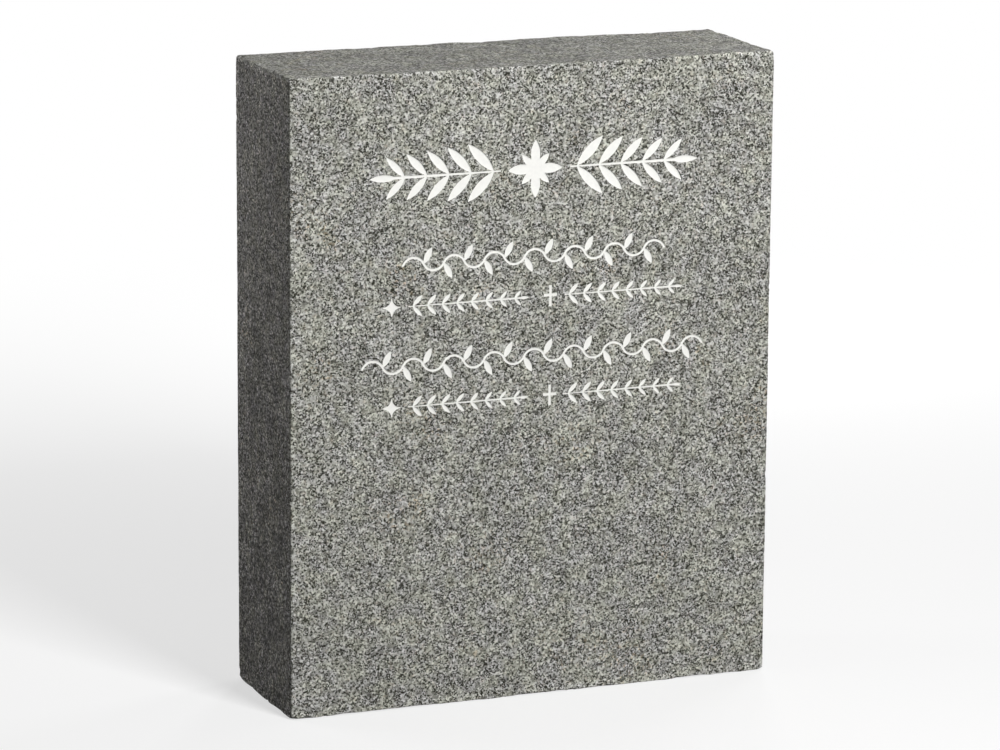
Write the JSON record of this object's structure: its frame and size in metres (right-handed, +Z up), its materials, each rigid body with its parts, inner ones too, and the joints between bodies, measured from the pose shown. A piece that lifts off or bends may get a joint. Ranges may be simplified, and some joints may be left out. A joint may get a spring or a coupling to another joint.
{
  "type": "headstone",
  "caption": "Upright rectangular granite headstone with white-filled carved ornament on its face and dowel holes in its underside.",
  "frame": {"origin": "middle of the underside, on the plane that the stone stands on", "axes": "+Z up along the height, +X to the right along the width, and -Y out of the carved face"},
  "size_m": [0.6, 0.185, 0.75],
  "materials": {
    "granite": "matte",
    "stone_paint": "matte"
  },
  "bodies": {
    "root": {"slab": "granite", "crest_rosette": "stone_paint", "crest_sprig_left": "stone_paint", "crest_sprig_right": "stone_paint", "upper_vine": "stone_paint", "upper_star": "stone_paint", "upper_star_sprig": "stone_paint", "upper_cross": "stone_paint", "upper_cross_sprig": "stone_paint", "lower_vine": "stone_paint", "lower_star": "stone_paint", "lower_star_sprig": "stone_paint", "lower_cross": "stone_paint", "lower_cross_sprig": "stone_paint"}
  },
  "joints": []
}
